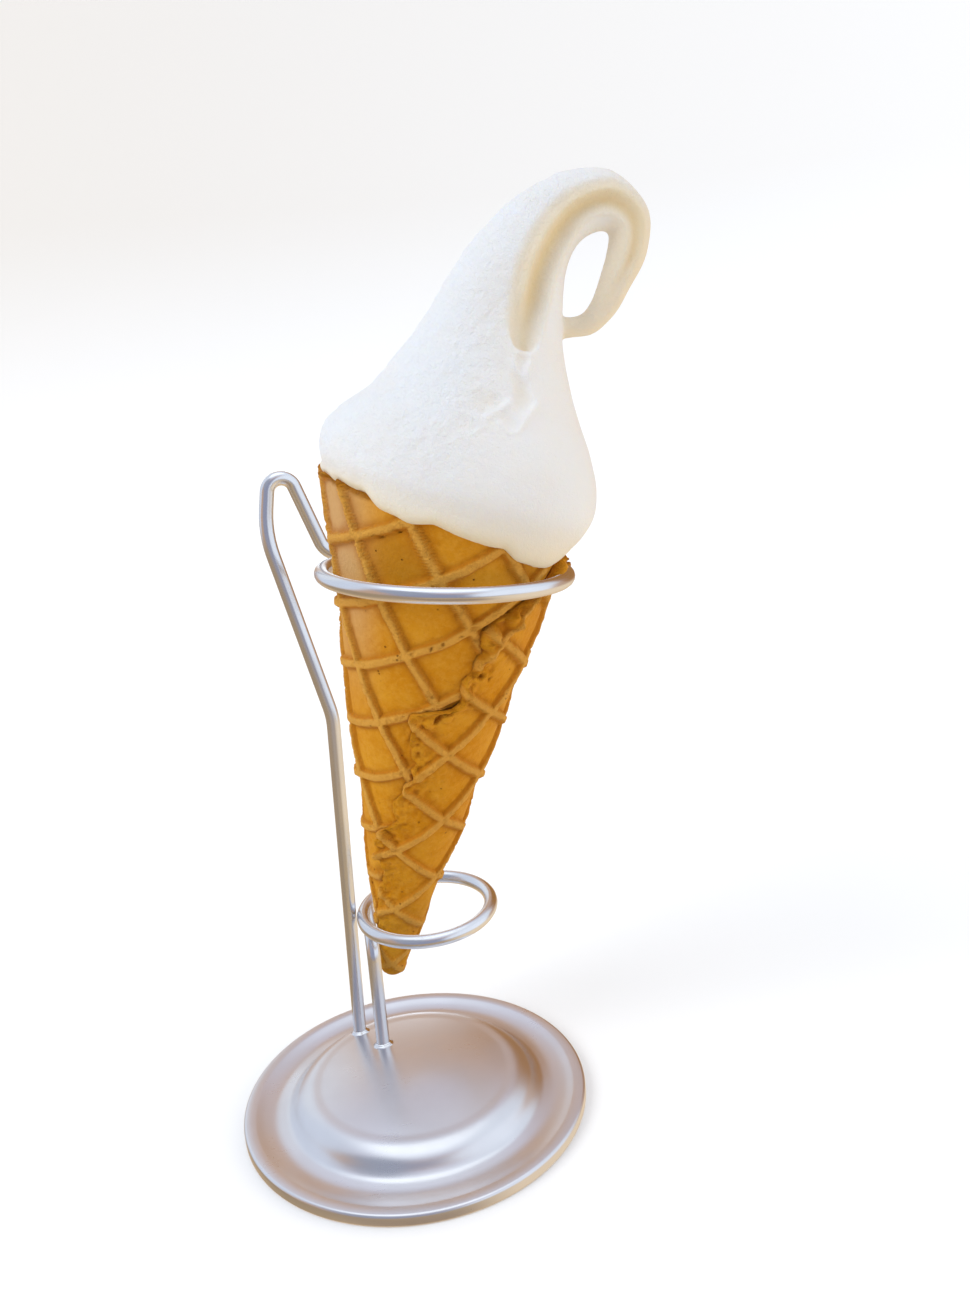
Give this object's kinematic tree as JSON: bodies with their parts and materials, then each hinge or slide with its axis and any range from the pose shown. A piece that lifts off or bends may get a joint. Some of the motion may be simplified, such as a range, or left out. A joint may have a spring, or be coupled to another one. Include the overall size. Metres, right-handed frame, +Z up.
{
  "type": "soft serve cone",
  "caption": "Curl-tipped milk soft serve in a rolled wafer cone, standing in a bent-wire holder with a side hook and a round domed steel base.",
  "frame": {"origin": "centre of the holder base's flat underside, on the surface it stands on", "axes": "+Z up, -Y towards the side that shows the wafer's rolled edge, +X towards the side the curl hangs over"},
  "size_m": [0.1238, 0.095, 0.2387],
  "materials": {
    "steel": "satin",
    "wafer": "matte",
    "milk_ice": "satin"
  },
  "bodies": {
    "root": {"base": "steel", "tall_wire": "steel", "short_wire": "steel", "weld_bead_a": "steel", "weld_bead_b": "steel", "cone": "wafer", "ice_cream": "milk_ice"}
  },
  "joints": []
}
